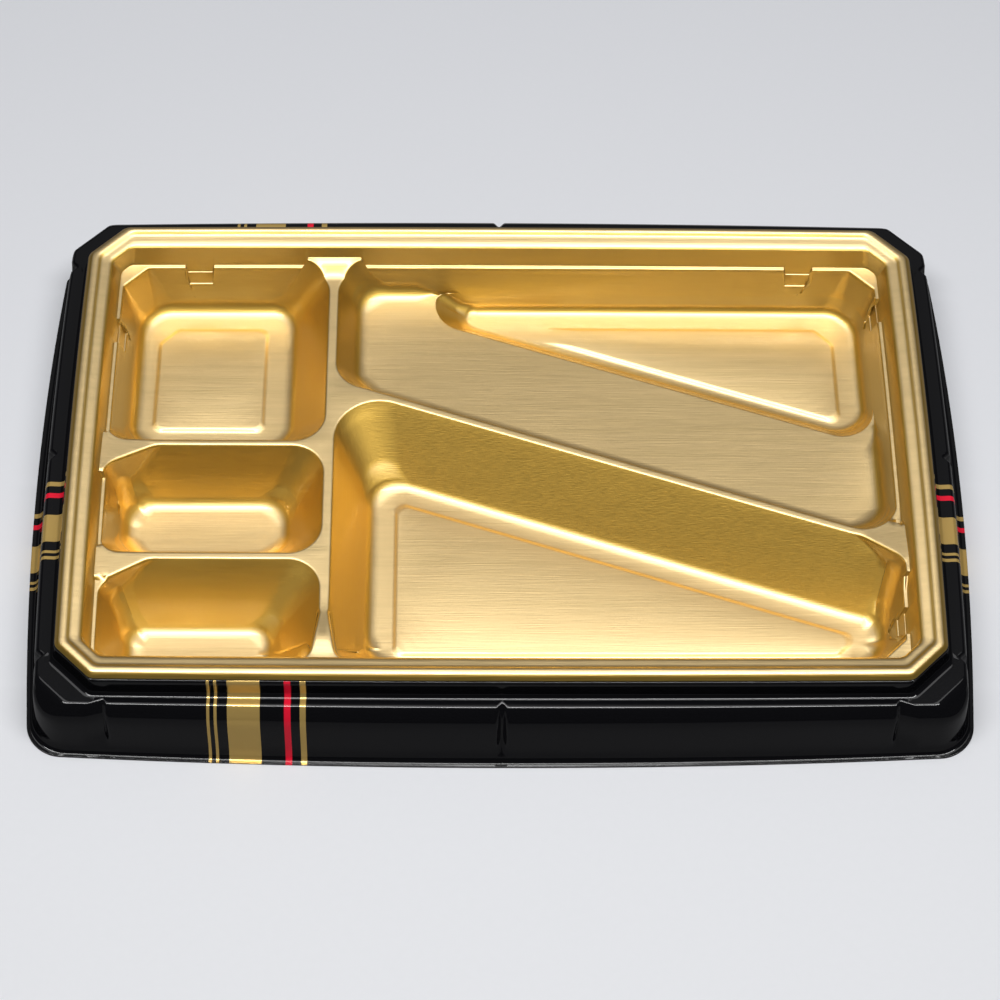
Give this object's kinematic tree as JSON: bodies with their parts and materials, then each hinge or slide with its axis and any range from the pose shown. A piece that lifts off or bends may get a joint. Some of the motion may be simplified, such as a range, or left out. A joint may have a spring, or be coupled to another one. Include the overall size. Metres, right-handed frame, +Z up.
{
  "type": "bento container",
  "caption": "Low rectangular take-away meal tray with chamfered corners: a compartmented metallic insert seated in a flared glossy outer tray.",
  "frame": {"origin": "on the table, under the middle of the container", "axes": "+X to the right along the long side, +Y from the front edge to the back edge, +Z up"},
  "size_m": [0.288, 0.1962, 0.027],
  "materials": {
    "insert_sheet": "satin gold metallised face",
    "tray_sheet": "smooth gloss black with printed gold and red stripes"
  },
  "bodies": {
    "outer_tray": {"outer_tray": "tray_sheet"},
    "inner_tray": {"inner_tray": "insert_sheet"}
  },
  "joints": [
    {"name": "insert_lift", "type": "slide", "parent": "outer_tray", "child": "inner_tray", "axis": [0, 0, 1], "range_m": [0, 0.06]}
  ]
}
